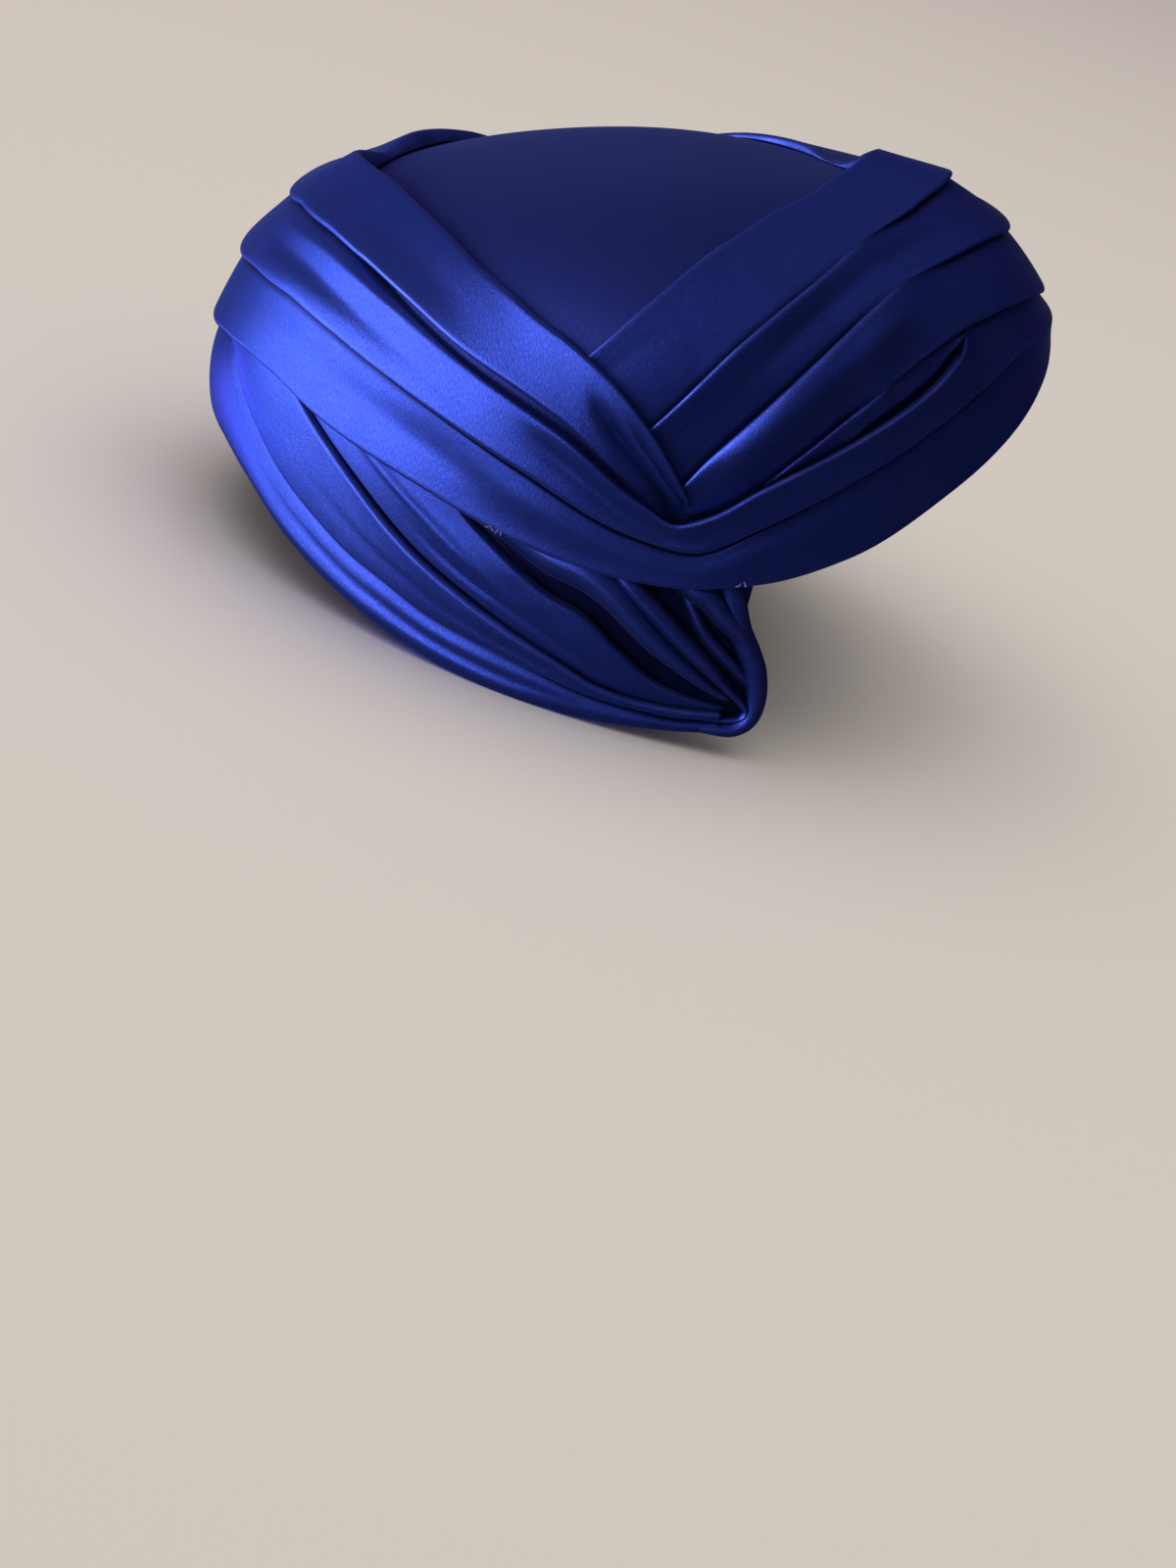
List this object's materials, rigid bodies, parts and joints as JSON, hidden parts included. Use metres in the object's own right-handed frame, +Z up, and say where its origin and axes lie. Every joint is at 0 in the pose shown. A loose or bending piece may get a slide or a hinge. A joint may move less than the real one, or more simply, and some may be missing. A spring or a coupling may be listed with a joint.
{
  "type": "half hat",
  "caption": "Draped satin half hat: a stiff shallow crown under crossing front and back pleats, with nape folds gathered to a point before each ear.",
  "frame": {"origin": "on the table under the middle of the hat's length and width, with the hat resting on its two ear points", "axes": "+X towards the face, +Y to the wearer's left, +Z up"},
  "size_m": [0.1839, 0.1624, 0.1179],
  "materials": {
    "crown_satin": "royal blue satin stretched smooth over a stiff cap",
    "drape_satin": "royal blue satin folded into soft pleats, glossy with a fine cross-thread grain"
  },
  "bodies": {
    "root": {"crown": "crown_satin", "front_pleat_top": "drape_satin", "front_pleat_middle": "drape_satin", "front_pleat_low": "drape_satin", "back_pleat": "drape_satin", "band_pleat_upper": "drape_satin", "band_pleat_lower": "drape_satin", "nape_fold_hem": "drape_satin", "front_leaf_right": "drape_satin", "front_leaf_left": "drape_satin", "nape_fold_low_right": "drape_satin", "nape_fold_low_left": "drape_satin", "nape_fold_high_right": "drape_satin", "nape_fold_high_left": "drape_satin", "side_gather_right": "drape_satin", "side_gather_left": "drape_satin"}
  },
  "joints": []
}
